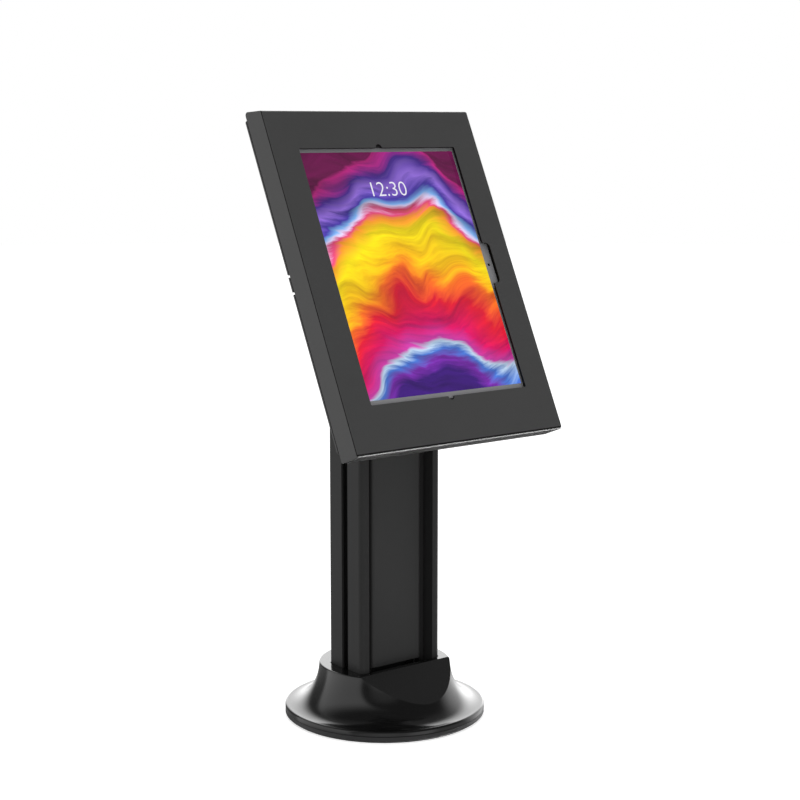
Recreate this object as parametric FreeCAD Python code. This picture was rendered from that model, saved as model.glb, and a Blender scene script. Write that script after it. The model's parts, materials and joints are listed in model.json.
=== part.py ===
import FreeCAD, Part
import math
import os

os.makedirs("parts", exist_ok=True)

# A countertop tablet stand: a round base with a bell-shaped cover, a slotted
# aluminium column, an angled steel bracket and a locked sheet-steel enclosure.
# Sizes are in millimetres. The origin is the middle of the base on the desk,
# X points right, -Y is the front and Z is up.

Vector = FreeCAD.Vector
X_AXIS = Vector(1, 0, 0)
Y_AXIS = Vector(0, 1, 0)
Z_AXIS = Vector(0, 0, 1)

# General clearances
FIT = 0.05              # radial play of a screw or plug in its own hole
SLIDE_GAP = 0.5         # play between nested sheet parts
SOFT_GAP = 0.3          # foam to a piece of another body
OVERCUT = 1.0           # how far a cutting tool runs past the metal

# Base
BASE_RADIUS = 82.5
PAD_THICK = 1.5
PAD_INSET = 3.0
PLATE_THICK = 4.5
PLATE_CHAMFER = 0.7
CABLE_HOLE_RADIUS = 16.0
ANCHOR_COUNT = 4
ANCHOR_CIRCLE_RADIUS = 65.0
ANCHOR_HOLE_RADIUS = 3.25

# Base cover
COVER_WALL = 2.4
COVER_HEIGHT = 44.5
RIM_TOP = 10.0
RIM_ROUND = 1.8
RIM_SHELF = 0.7         # flat left between the flare and the rim's rounding
NECK_RADIUS = 54.2
NECK_ROUND = 1.2
FACET_SHELF = 5.5       # collar left in front of the column
FACET_FOOT_INSET = 4.8  # rim's edge to where the facet would reach the rim's top
COVER_GAP = 0.6         # play around the column
GUIDE_DEPTH = 9.0       # sleeve under the collar that runs on the column
GUIDE_WALL = 1.8
RIB_PAIRS = 4           # cross ribs inside the bell
FLARE_STEPS = 6         # points that the flare's curve passes through

# Column extrusion
COLUMN_WIDTH = 82.0
COLUMN_DEPTH = 44.0
COLUMN_ROUND = 4.0
COLUMN_TOP = 325.0
CHANNEL_WIDTH = 66.0    # between the corner posts, front and rear
CHANNEL_FLOOR_WIDTH = 58.0
POST_DEPTH = 12.0
WEB_THICK = 4.0
SLOT_WIDTH = 8.0
SLOT_LIP = 2.0
SLOT_CHAMBER_WIDTH = 14.5
SLOT_CHAMBER_DEPTH = 5.5
PORT_INSET_X = 4.0
PORT_INSET_Y = 6.0
RIB_HALF_SPAN = 23.45   # outer face of the clip ribs that the panels grip
RIB_THICK = 1.6
RIB_HEIGHT = 9.0

# Clip-in cable panels
PANEL_WIDTH = 51.6
PANEL_RECESS = 5.9
PANEL_THICK = 2.0
PANEL_ROUND = 3.2
PANEL_LEG_GAP = 0.35    # play between a leg and its rib
PANEL_LEG_END_GAP = 0.4
PANEL_FOOT_GAP = 1.0
PANEL_TOP_GAP = 1.5
BEAD_RADIUS = 0.3       # gripping bead on a leg

# Column cap
CAP_THICK = 2.5
CAP_INSET = 0.4
CAP_CABLE_MARGIN = 1.2

# Screws: the shank is drawn at its thread root
PORT_SCREW_RADIUS = 2.6
PORT_SCREW_LENGTH = 22.0
PORT_SCREW_HEAD_RADIUS = 5.8
PORT_SCREW_HEAD_HEIGHT = 3.2
CAP_SCREW_LENGTH = 12.0
CAP_SCREW_HEAD_RADIUS = 3.6
CAP_SCREW_HEAD_HEIGHT = 2.2
SOCKET_DEPTH_SHARE = 0.6
SOCKET_WIDTH_SHARE = 0.7
HEX_SIDES = 6

# Enclosure, in its own leaning axes: Y runs into it, Z up its face
LEAN = 25.5
FACE_Y = -40.0
FACE_Z = 367.5
SHEET = 1.5
SIDE_MARGIN = 16.5      # enclosure past the tablet at each side
END_MARGIN = 14.7       # enclosure past the tablet at each end
WALL_DEPTH = 21.5
TOP_CLIMB = 8.7         # how far the top wall climbs from front to back
FOOT_CLIMB = 1.8        # how far the bottom wall climbs from front to back
TRAY_STEP = 2.7         # how far the tray stands out behind the cover
BEND_RADIUS = 2.4
HEM_RADIUS = 2.5
SEAM_START = 0.3        # seam between the face and a side wall
SEAM_WIDTH = 1.1
SEAM_DEPTH = 0.5
CATCH_HEIGHT = 5.5      # from the bottom wall's back edge
CATCH_WIDTH = 60.0

# Window
BORDER_SIDE = 8.5       # tablet border behind the cover at each side
BORDER_END = 20.3       # tablet border behind the cover at each end
WINDOW_RISE = 3.0       # its middle above the middle of the face
WINDOW_ROUND = 1.2
NOTCH_RADIUS = 3.0
SENSOR_SLOT_LENGTH = 35.0
SENSOR_SLOT_DEPTH = 6.6
SENSOR_SLOT_ROUND = 4.0
SENSOR_SLOT_RISE = 2.0  # its middle above the middle of the window

# Tray, its ends measured from the cover's back corners
TRAY_PLATE_INSET = 5.8  # from the side walls' top back corner
TRAY_BOTTOM_INSET = 7.2
TRAY_LIP_INSET = 0.2    # tray's back plate from the side walls' outer faces
TRAY_FLANGE_FRONT = 6.0
RELIEF_WIDTH = 2.2
RELIEF_DEPTH = 6.0
RELIEF_SPACING = 14.0
RELIEF_RISE = 5.6
HOOK_COUNT = 2
HOOK_SPACING = 110.0
HOOK_WIDTH = 40.0
HOOK_GAP = 0.3
HOOK_START = 195.0
HOOK_END = 390.0

# Screen-mount bracket and its screws
PATTERN = 75.0
BRACKET_THICK = 3.0
BRACKET_HEIGHT = 100.0
BRACKET_SIDE_GAP = 0.2
BRACKET_FOOT = 262.0
BRACKET_SHOULDER = 352.0
BRACKET_EDGE_INSET = 3.0
BRACKET_ROUND = 4.0
BRACKET_BEND = 2.7
BRACKET_WINDOW_RADIUS = 20.0
PLATE_SCREW_RADIUS = 2.0
PLATE_SCREW_HEAD_RADIUS = 3.8
PLATE_SCREW_HEAD_HEIGHT = 2.2
PLATE_SCREW_TIP = 1.0
SIDE_SCREW_HEIGHTS = (278.0, 308.0)
SIDE_SCREW_RADIUS = 3.0
SIDE_SCREW_HEAD_RADIUS = 5.5
SIDE_SCREW_HEAD_HEIGHT = 3.3
SLOT_NUT_LENGTH = 16.0
SLOT_NUT_THICK = 4.0
SLOT_NUT_GAP = 0.25

# Tray fittings
GROMMET_HOLE_RADIUS = 13.0
GROMMET_LIP = 2.0
GROMMET_LIP_THICK = 1.2
GROMMET_BORE_RADIUS = 10.0
HOLDER_ARM = 30.0
HOLDER_WALL = 3.0
HOLDER_GAP = 0.6
HOLDER_FRONT = 7.5
HOLDER_SHELF = 6.0
HOLDER_SCREW_RADIUS = 1.5
HOLDER_SCREW_HEAD_RADIUS = 2.7
HOLDER_SCREW_HEAD_HEIGHT = 1.4
FOAM_WIDTH = 14.0
FOAM_LENGTH = 150.0
FOAM_SPACING = 118.0

# Tablet that the enclosure holds
TABLET_WIDTH = 174.0
TABLET_HEIGHT = 250.6
TABLET_THICK = 7.5
TABLET_ROUND = 9.0
TABLET_REAR_ROUND = 2.5
TABLET_DEPTH = 4.2      # its glass behind the cover's face
GLASS_THICK = 1.0
GLASS_RIM = 0.8
LENS_RADIUS = 1.3
LENS_INSET = 4.9
LENS_THICK = 0.4

# Cover gasket foam
GASKET_WIDTH = 8.0
GASKET_INSET = 3.0

# Cam lock
LOCK_INSET = 39.0       # its axis in from the tablet's side
LOCK_RISE = 14.8        # its axis above the tray's bottom flange
LOCK_BODY_RADIUS = 9.0
LOCK_BODY_LENGTH = 13.0
LOCK_FLANGE_RADIUS = 11.5
LOCK_FLANGE_THICK = 2.0
LOCK_STUB_RADIUS = 6.0
LOCK_FLAT = 5.2         # half the width across the stub's flats
LOCK_NUT_FLATS = 17.0
LOCK_NUT_HEIGHT = 1.9
LOCK_PLUG_RADIUS = 4.2
KEYWAY_WIDTH = 1.4
KEYWAY_LENGTH = 5.6
KEYWAY_DEPTH = 8.0
CAM_THICK = 1.8
CAM_WIDTH = 9.0
CAM_CLEARANCE = 0.3     # to the cover's catch when locked
CAM_END_GAP = 1.5
CAM_SCREW_HEAD_RADIUS = 3.2
CAM_SCREW_HEAD_HEIGHT = 1.2
CAM_SCREW_RADIUS = 1.5
CAM_SCREW_LENGTH = 5.0
CAM_SLOT_MARGIN = 1.0

# Derived sizes and places that several pieces share
ENCLOSURE_WIDTH = TABLET_WIDTH + 2 * SIDE_MARGIN
ENCLOSURE_HEIGHT = TABLET_HEIGHT + 2 * END_MARGIN
WINDOW_WIDTH = TABLET_WIDTH - 2 * BORDER_SIDE
WINDOW_HEIGHT = TABLET_HEIGHT - 2 * BORDER_END
PLATE_TOP = PAD_THICK + PLATE_THICK
FACET_REACH = BASE_RADIUS - FACET_FOOT_INSET - COLUMN_DEPTH / 2 - FACET_SHELF
FACET_ANGLE = math.degrees(math.atan2(COVER_HEIGHT - RIM_TOP, FACET_REACH))
HALF_W = ENCLOSURE_WIDTH / 2
HALF_H = ENCLOSURE_HEIGHT / 2
TRAY_BACK = WALL_DEPTH + TRAY_STEP
TRAY_INSIDE = TRAY_BACK - SHEET
TRAY_HALF_W = HALF_W - SHEET - SLIDE_GAP
TOP_SLOPE = TOP_CLIMB / WALL_DEPTH
FOOT_SLOPE = FOOT_CLIMB / WALL_DEPTH
TOP_STRETCH = math.hypot(1, TOP_SLOPE)  # height of one millimetre square to the top wall
FOOT_STRETCH = math.hypot(1, FOOT_SLOPE)
TRAY_TOP = HALF_H + TOP_SLOPE * TRAY_FLANGE_FRONT - SHEET * TOP_STRETCH - SLIDE_GAP
TRAY_PLATE_TOP = HALF_H + TOP_CLIMB - TRAY_PLATE_INSET
TRAY_BOTTOM = -HALF_H + FOOT_CLIMB + TRAY_BOTTOM_INSET
HINGE_Y = WALL_DEPTH - HEM_RADIUS
HINGE_Z = HALF_H + TOP_SLOPE * HINGE_Y - HEM_RADIUS * TOP_STRETCH
TABLET_BACK = TABLET_DEPTH + TABLET_THICK
TABLET_HALF_W = TABLET_WIDTH / 2
TABLET_HALF_H = TABLET_HEIGHT / 2
LOCK_X = TABLET_HALF_W - LOCK_INSET
LOCK_Z = TRAY_BOTTOM + LOCK_RISE
SENSOR_Z = WINDOW_RISE + SENSOR_SLOT_RISE
CAM_BACK = WALL_DEPTH - SHEET - CAM_CLEARANCE
CAM_FRONT = CAM_BACK - CAM_THICK
CAM_FLOOR = -HALF_H + FOOT_SLOPE * CAM_BACK + SHEET * FOOT_STRETCH
CAM_REACH = LOCK_Z - CAM_FLOOR - CAM_END_GAP
PORT_X = COLUMN_WIDTH / 2 - PORT_INSET_X
PORT_Y = COLUMN_DEPTH / 2 - PORT_INSET_Y
PANEL_FRONT = COLUMN_DEPTH / 2 - PANEL_RECESS
PANEL_BACK = PANEL_FRONT - PANEL_THICK
PANEL_BOTTOM = COVER_HEIGHT + PANEL_FOOT_GAP
PANEL_TOP = COLUMN_TOP - PANEL_TOP_GAP
SLOT_FLOOR = COLUMN_WIDTH / 2 - SLOT_LIP - SLOT_CHAMBER_DEPTH
BRACKET_INSIDE = COLUMN_WIDTH / 2 + BRACKET_SIDE_GAP
BRACKET_OUTSIDE = BRACKET_INSIDE + BRACKET_THICK
LEANING = FreeCAD.Placement(Vector(0, FACE_Y, FACE_Z), FreeCAD.Rotation(X_AXIS, -LEAN))


def block(x0, x1, y0, y1, z0, z1):
    """A box between two corners, given by its limits on each axis."""
    return Part.makeBox(x1 - x0, y1 - y0, z1 - z0, Vector(x0, y0, z0))


def rod(radius, length, start, axis):
    """A cylinder from a start point along an axis."""
    return Part.makeCylinder(radius, length, start, axis)


def rounded_block(x0, x1, y0, y1, z0, z1, radius, axis):
    """A box whose edges along one axis are rounded."""
    solid = block(x0, x1, y0, y1, z0, z1)
    edges = [edge for edge in solid.Edges if abs(edge.tangentAt(0).dot(axis)) > 0.9]
    return solid.makeFillet(radius, edges)


def fuse_all(solids):
    """Joins overlapping solids into one and cleans its faces."""
    joined = solids[0]
    for solid in solids[1:]:
        joined = joined.fuse(solid)
    return joined.removeSplitter()


def cut_all(solid, tools):
    """Takes a list of tools out of a solid."""
    for tool in tools:
        solid = solid.cut(tool)
    return solid.removeSplitter()


def leaning(solid):
    """Turns a solid from the enclosure's own axes into the stand's axes."""
    placed = solid.copy()
    placed.Placement = LEANING.multiply(placed.Placement)
    return placed


def leaning_point(y, z):
    """A point on the middle plane, from the enclosure's axes to the stand's."""
    return LEANING.multVec(Vector(0, y, z))


def write(name, shape):
    """Writes one named piece."""
    shape.exportStep("parts/" + name + ".step")


def group(solids):
    """Holds separate solids of one kind in one piece."""
    return Part.makeCompound(solids)


def hex_prism(across_flats, height):
    """A hexagonal prism on the XY plane."""
    corner_radius = across_flats / math.sqrt(3)
    turns = [math.radians(360 * step / HEX_SIDES) for step in range(HEX_SIDES + 1)]
    corners = [Vector(corner_radius * math.cos(a), corner_radius * math.sin(a), 0) for a in turns]
    return Part.Face(Part.makePolygon(corners)).extrude(Vector(0, 0, height))


def countersunk_screw(radius, length, head_radius, head_height):
    """A countersunk screw that points up, its flat head at height zero."""
    head = Part.makeCone(head_radius, radius, head_height)
    shank = rod(radius, length, Vector(0, 0, 0), Z_AXIS)
    socket = hex_prism(head_radius * SOCKET_WIDTH_SHARE, head_height * SOCKET_DEPTH_SHARE)
    return head.fuse(shank).removeSplitter().cut(socket)


def button_screw(radius, length, head_radius, head_height):
    """A button-head screw that points up, its head below height zero."""
    dome_radius = (head_radius ** 2 + head_height ** 2) / (2 * head_height)
    dome = Part.makeSphere(dome_radius, Vector(0, 0, dome_radius - head_height))
    head = dome.common(rod(head_radius, head_height, Vector(0, 0, -head_height), Z_AXIS))
    shank = rod(radius, length, Vector(0, 0, 0), Z_AXIS)
    socket = hex_prism(head_radius * SOCKET_WIDTH_SHARE, head_height * SOCKET_DEPTH_SHARE)
    socket.translate(Vector(0, 0, -head_height))
    return head.fuse(shank).removeSplitter().cut(socket)


def moved(solid, position, turn_axis=Z_AXIS, turn=0):
    """A copy of a solid, turned about the origin and then moved."""
    placed = solid.copy()
    step = FreeCAD.Placement(position, FreeCAD.Rotation(turn_axis, turn))
    placed.Placement = step.multiply(placed.Placement)
    return placed


def on_ports(height):
    """The four corner screw ports of the column at one height."""
    return [Vector(sx * PORT_X, sy * PORT_Y, height) for sx in (-1, 1) for sy in (-1, 1)]


def anchor_points(height):
    """The places of the bolts that hold the base to a counter."""
    step = 360 / ANCHOR_COUNT
    turns = [math.radians(step / 2 + step * index) for index in range(ANCHOR_COUNT)]
    radius = ANCHOR_CIRCLE_RADIUS
    return [Vector(radius * math.cos(a), radius * math.sin(a), height) for a in turns]


def base_pad():
    """Foam disc under the base plate, open around bolts, screws and cable."""
    low = -OVERCUT
    tall = PAD_THICK + 2 * OVERCUT
    disc = rod(BASE_RADIUS - PAD_INSET, PAD_THICK, Vector(0, 0, 0), Z_AXIS)
    tools = [rod(CABLE_HOLE_RADIUS, tall, Vector(0, 0, low), Z_AXIS)]
    tools += [rod(ANCHOR_HOLE_RADIUS, tall, point, Z_AXIS) for point in anchor_points(low)]
    tools += [rod(PORT_SCREW_HEAD_RADIUS, tall, point, Z_AXIS) for point in on_ports(low)]
    return cut_all(disc, tools)


def base_plate():
    """Steel disc that carries the column and takes the counter bolts."""
    disc = rod(BASE_RADIUS, PLATE_THICK, Vector(0, 0, PAD_THICK), Z_AXIS)
    rim = [edge for edge in disc.Edges if edge.Length > BASE_RADIUS * math.pi]
    disc = disc.makeChamfer(PLATE_CHAMFER, rim)
    low = PAD_THICK - OVERCUT
    tall = PLATE_THICK + 2 * OVERCUT
    tools = [rod(CABLE_HOLE_RADIUS, tall, Vector(0, 0, low), Z_AXIS)]
    tools += [rod(ANCHOR_HOLE_RADIUS, tall, point, Z_AXIS) for point in anchor_points(low)]
    tools += [rod(PORT_SCREW_RADIUS + FIT, tall, point, Z_AXIS) for point in on_ports(low)]
    sink = Part.makeCone(
        PORT_SCREW_HEAD_RADIUS + FIT, PORT_SCREW_RADIUS + FIT, PORT_SCREW_HEAD_HEIGHT)
    tools += [moved(sink, point) for point in on_ports(PAD_THICK)]
    return cut_all(disc, tools)


def bell(inset, rounded):
    """The cover's bell with its slanted front facet, drawn in by a wall or rounded outside."""
    rim_radius = BASE_RADIUS - inset
    neck_radius = NECK_RADIUS - inset
    top = COVER_HEIGHT - inset
    rim_top = RIM_TOP - inset
    flare_radius = rim_radius - RIM_ROUND - RIM_SHELF
    width = flare_radius - neck_radius
    height = top - rim_top
    steps = [math.radians(90 * step / FLARE_STEPS) for step in range(FLARE_STEPS + 1)]
    curve = [Vector(flare_radius - width * math.cos(a), 0, top - height * math.sin(a)) for a in steps]
    flare = Part.BSplineCurve()
    flare.interpolate(Points=curve, InitialTangent=Vector(0, 0, -1), FinalTangent=Vector(1, 0, 0))
    corners = [
        curve[-1],
        Vector(rim_radius, 0, rim_top),
        Vector(rim_radius, 0, PLATE_TOP),
        Vector(0, 0, PLATE_TOP),
        Vector(0, 0, top),
        curve[0],
    ]
    lines = [Part.makeLine(a, b) for a, b in zip(corners, corners[1:])]
    outline = Part.Wire([flare.toShape()] + lines)
    solid = Part.Face(outline).revolve(Vector(0, 0, 0), Z_AXIS, 360)
    if rounded:
        rim = [e for e in solid.Edges if edge_is_ring(e, rim_radius, rim_top)]
        solid = solid.makeFillet(RIM_ROUND, rim)
        neck = [e for e in solid.Edges if edge_is_ring(e, neck_radius, top)]
        solid = solid.makeFillet(NECK_ROUND, neck)
    slope = math.radians(FACET_ANGLE)
    shelf_y = -COLUMN_DEPTH / 2 - FACET_SHELF + inset * math.sin(slope)
    shelf_z = COVER_HEIGHT - inset * math.cos(slope)
    reach = 2 * BASE_RADIUS
    above = block(-reach, reach, -reach, 0, 0, reach)
    return solid.cut(moved(above, Vector(0, shelf_y, shelf_z), X_AXIS, FACET_ANGLE))


def edge_is_ring(edge, radius, height):
    """Whether an edge is the level circle of one radius at one height."""
    box = edge.BoundBox
    level = abs(box.ZMin - height) < FIT and abs(box.ZMax - height) < FIT
    return level and abs(box.XMax - radius) < FIT


def column_opening(margin, bottom, top):
    """The column's outline, grown by a margin, between two heights."""
    half_x = COLUMN_WIDTH / 2 + margin
    half_y = COLUMN_DEPTH / 2 + margin
    radius = COLUMN_ROUND + margin
    return rounded_block(-half_x, half_x, -half_y, half_y, bottom, top, radius, Z_AXIS)


def base_cover():
    """Moulded bell that hides the bolts, with a guide sleeve and ribs inside."""
    inside = bell(COVER_WALL, False)
    shell = bell(0, True).cut(inside)
    sleeve_low = COVER_HEIGHT - GUIDE_DEPTH
    sleeve_top = COVER_HEIGHT - COVER_WALL / 2
    sleeve = column_opening(COVER_GAP + GUIDE_WALL, sleeve_low, sleeve_top)
    ribs = []
    half = GUIDE_WALL / 2
    rib = block(-BASE_RADIUS, BASE_RADIUS, -half, half, sleeve_low, COVER_HEIGHT)
    for index in range(RIB_PAIRS):
        turn = (index + 0.5) * 180 / RIB_PAIRS
        ribs.append(moved(rib, Vector(0, 0, 0), Z_AXIS, turn).common(inside))
    cover = fuse_all([shell, sleeve] + ribs)
    hole = column_opening(COVER_GAP, PLATE_TOP, COVER_HEIGHT + OVERCUT)
    return cover.cut(hole).removeSplitter()


def column():
    """Aluminium extrusion: corner posts, front and rear channels, side slots."""
    solid = column_opening(0, PLATE_TOP, COLUMN_TOP)
    low = PLATE_TOP - OVERCUT
    top = COLUMN_TOP + OVERCUT
    half_x = COLUMN_WIDTH / 2
    half_y = COLUMN_DEPTH / 2
    mouth = CHANNEL_WIDTH / 2
    floor = CHANNEL_FLOOR_WIDTH / 2
    web = WEB_THICK / 2
    tools = []
    for side in (0, 180):
        wide = block(-mouth, mouth, -half_y - OVERCUT, -half_y + POST_DEPTH, low, top)
        deep = block(-floor, floor, -half_y + POST_DEPTH - OVERCUT, -web, low, top)
        lip_x = half_x - SLOT_LIP - OVERCUT
        lip = block(lip_x, half_x + OVERCUT, -SLOT_WIDTH / 2, SLOT_WIDTH / 2, low, top)
        chamber_half = SLOT_CHAMBER_WIDTH / 2
        chamber = block(SLOT_FLOOR, half_x - SLOT_LIP, -chamber_half, chamber_half, low, top)
        tools += [moved(t, Vector(0, 0, 0), Z_AXIS, side) for t in (wide, deep, lip, chamber)]
    height = COLUMN_TOP - PLATE_TOP + 2 * OVERCUT
    tools += [rod(PORT_SCREW_RADIUS + FIT, height, point, Z_AXIS) for point in on_ports(low)]
    ribs = []
    for sx in (-1, 1):
        inner = sx * (RIB_HALF_SPAN - RIB_THICK)
        outer = sx * RIB_HALF_SPAN
        x0, x1 = min(inner, outer), max(inner, outer)
        reach = web + RIB_HEIGHT
        ribs.append(block(x0, x1, -reach, reach, PLATE_TOP, COLUMN_TOP))
    return fuse_all([cut_all(solid, tools)] + ribs)


def cable_panel(turn):
    """Clip-in channel panel: a rounded C whose legs grip the column's ribs."""
    half = PANEL_WIDTH / 2
    leg_end = -WEB_THICK / 2 - PANEL_LEG_END_GAP
    outer = block(-half, half, -PANEL_FRONT, leg_end, PANEL_BOTTOM, PANEL_TOP)
    corners = [e for e in outer.Edges if upright_at(e, -PANEL_FRONT)]
    outer = outer.makeFillet(PANEL_ROUND, corners)
    inner_half = RIB_HALF_SPAN + PANEL_LEG_GAP
    low = PANEL_BOTTOM - OVERCUT
    top = PANEL_TOP + OVERCUT
    inner = block(-inner_half, inner_half, -PANEL_BACK, leg_end + OVERCUT, low, top)
    panel = outer.cut(inner)
    bead_y = -WEB_THICK / 2 - RIB_HEIGHT / 2
    length = PANEL_TOP - PANEL_BOTTOM
    feet = [Vector(sx * inner_half, bead_y, PANEL_BOTTOM) for sx in (-1, 1)]
    beads = [rod(BEAD_RADIUS, length, foot, Z_AXIS) for foot in feet]
    return moved(fuse_all([panel] + beads), Vector(0, 0, 0), Z_AXIS, turn)


def upright_at(edge, y):
    """Whether an edge runs along Z at one depth."""
    upright = abs(edge.tangentAt(edge.FirstParameter).dot(Z_AXIS)) > 0.9
    return upright and abs(edge.Vertexes[0].Y - y) < FIT


def column_cap():
    """Plastic cap on the column, open over the cable channels."""
    cap = column_opening(-CAP_INSET, COLUMN_TOP, COLUMN_TOP + CAP_THICK)
    half = RIB_HALF_SPAN - RIB_THICK - CAP_CABLE_MARGIN
    near = WEB_THICK / 2 + CAP_CABLE_MARGIN
    far = PANEL_BACK - CAP_CABLE_MARGIN
    low = COLUMN_TOP - OVERCUT
    top = COLUMN_TOP + CAP_THICK + OVERCUT
    slot = rounded_block(-half, half, near, far, low, top, CAP_CABLE_MARGIN, Z_AXIS)
    tools = [moved(slot, Vector(0, 0, 0), Z_AXIS, side) for side in (0, 180)]
    tools += [rod(PORT_SCREW_RADIUS + FIT, top - low, point, Z_AXIS) for point in on_ports(low)]
    return cut_all(cap, tools)


def column_screws():
    """Four countersunk screws, up through the base plate into the column."""
    screw = countersunk_screw(
        PORT_SCREW_RADIUS, PORT_SCREW_LENGTH, PORT_SCREW_HEAD_RADIUS, PORT_SCREW_HEAD_HEIGHT)
    return group([moved(screw, point) for point in on_ports(PAD_THICK)])


def cap_screws():
    """Four button-head screws, down through the cap into the column."""
    screw = button_screw(
        PORT_SCREW_RADIUS, CAP_SCREW_LENGTH, CAP_SCREW_HEAD_RADIUS, CAP_SCREW_HEAD_HEIGHT)
    return group([moved(screw, point, X_AXIS, 180) for point in on_ports(COLUMN_TOP + CAP_THICK)])


def pattern_points(depth):
    """The four corners of the screen-mount hole pattern, in leaning axes."""
    half = PATTERN / 2
    return [Vector(sx * half, depth, sz * half) for sx in (-1, 1) for sz in (-1, 1)]


def head_bracket():
    """Folded steel bracket: a leaning plate between two cheeks."""
    half = BRACKET_HEIGHT / 2
    back = TRAY_BACK + BRACKET_THICK
    plate = block(-BRACKET_OUTSIDE, BRACKET_OUTSIDE, TRAY_BACK, back, -half, half)
    side_y = COLUMN_DEPTH / 2 - BRACKET_EDGE_INSET
    corners = [
        leaning_point(TRAY_BACK, -half),
        leaning_point(TRAY_BACK, half),
        Vector(0, side_y, BRACKET_SHOULDER),
        Vector(0, side_y, BRACKET_FOOT),
        Vector(0, -side_y, BRACKET_FOOT),
    ]
    outline = Part.makePolygon(corners + corners[:1])
    cheek = Part.Face(outline).extrude(Vector(BRACKET_THICK, 0, 0))
    free = [e for e in cheek.Edges if crossing_at(e, corners[2:])]
    cheek = cheek.makeFillet(BRACKET_ROUND, free)
    right = moved(cheek, Vector(BRACKET_INSIDE, 0, 0))
    left = moved(cheek, Vector(-BRACKET_OUTSIDE, 0, 0))
    bracket = fuse_all([leaning(plate), left, right])
    bends = [e for e in bracket.Edges if bend_line(e)]
    bracket = bracket.makeFillet(BRACKET_BEND, bends)
    depth = TRAY_BACK - OVERCUT
    through = BRACKET_THICK + 2 * OVERCUT
    radius = PLATE_SCREW_RADIUS + FIT
    tools = [rod(radius, through, point, Y_AXIS) for point in pattern_points(depth)]
    tools.append(rod(BRACKET_WINDOW_RADIUS, through, Vector(0, depth, 0), Y_AXIS))
    tools = [leaning(tool) for tool in tools]
    span = 2 * (BRACKET_OUTSIDE + OVERCUT)
    start = -BRACKET_OUTSIDE - OVERCUT
    radius = SIDE_SCREW_RADIUS + FIT
    tools += [rod(radius, span, Vector(start, 0, z), X_AXIS) for z in SIDE_SCREW_HEIGHTS]
    return cut_all(bracket, tools)


def crossing_at(edge, points):
    """Whether an edge runs along X through one of the given YZ points."""
    if abs(edge.tangentAt(edge.FirstParameter).dot(X_AXIS)) < 0.9:
        return False
    start = edge.Vertexes[0]
    return any(abs(start.Y - p.y) < FIT and abs(start.Z - p.z) < FIT for p in points)


def bend_line(edge):
    """Whether an edge is one of the bracket's two outer bend lines."""
    inverse = LEANING.inverse()
    ends = [inverse.multVec(vertex.Point) for vertex in edge.Vertexes]
    if len(ends) < 2:
        return False
    at_side = all(abs(abs(p.x) - BRACKET_OUTSIDE) < FIT for p in ends)
    at_face = all(abs(p.y - TRAY_BACK) < FIT for p in ends)
    return at_side and at_face and abs(ends[0].z - ends[1].z) > BRACKET_HEIGHT / 2


def slot_nuts():
    """Flat nuts that slide in the column's side slots."""
    half_y = SLOT_CHAMBER_WIDTH / 2 - SLOT_NUT_GAP
    outer = COLUMN_WIDTH / 2 - SLOT_LIP
    nuts = []
    for sx in (-1, 1):
        for z in SIDE_SCREW_HEIGHTS:
            x0, x1 = sorted((sx * (outer - SLOT_NUT_THICK), sx * outer))
            half_z = SLOT_NUT_LENGTH / 2
            nut = block(x0, x1, -half_y, half_y, z - half_z, z + half_z)
            length = SLOT_NUT_THICK + 2 * OVERCUT
            hole = rod(SIDE_SCREW_RADIUS + FIT, length, Vector(x0 - OVERCUT, 0, z), X_AXIS)
            nuts.append(nut.cut(hole))
    return group(nuts)


def side_screws():
    """Button-head screws that clamp the bracket's cheeks to the side slots."""
    length = BRACKET_THICK + BRACKET_SIDE_GAP + SLOT_LIP + SLOT_NUT_THICK
    screw = button_screw(
        SIDE_SCREW_RADIUS, length, SIDE_SCREW_HEAD_RADIUS, SIDE_SCREW_HEAD_HEIGHT)
    placed = []
    for sx in (-1, 1):
        for z in SIDE_SCREW_HEIGHTS:
            placed.append(moved(screw, Vector(sx * BRACKET_OUTSIDE, 0, z), Y_AXIS, -90 * sx))
    return group(placed)


def plate_screws():
    """Four screws that hold the tray to the bracket, heads inside the tray."""
    length = SHEET + BRACKET_THICK + PLATE_SCREW_TIP
    screw = button_screw(
        PLATE_SCREW_RADIUS, length, PLATE_SCREW_HEAD_RADIUS, PLATE_SCREW_HEAD_HEIGHT)
    return group([leaning(seated(screw, point)) for point in pattern_points(TRAY_INSIDE)])


def seated(screw, point):
    """A screw turned to run backwards into the enclosure from a point."""
    return moved(screw, point, X_AXIS, -90)


def climbing_block(half_w, y0, y1, inset):
    """The enclosure's block between two depths, its end walls climbing to the back."""
    foot = -HALF_H + inset * FOOT_STRETCH
    top = HALF_H - inset * TOP_STRETCH
    corners = [Vector(-half_w, y, foot + FOOT_SLOPE * y) for y in (y0, y1)]
    corners += [Vector(-half_w, y, top + TOP_SLOPE * y) for y in (y1, y0)]
    side = Part.Face(Part.makePolygon(corners + corners[:1]))
    return side.extrude(Vector(2 * half_w, 0, 0))


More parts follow.
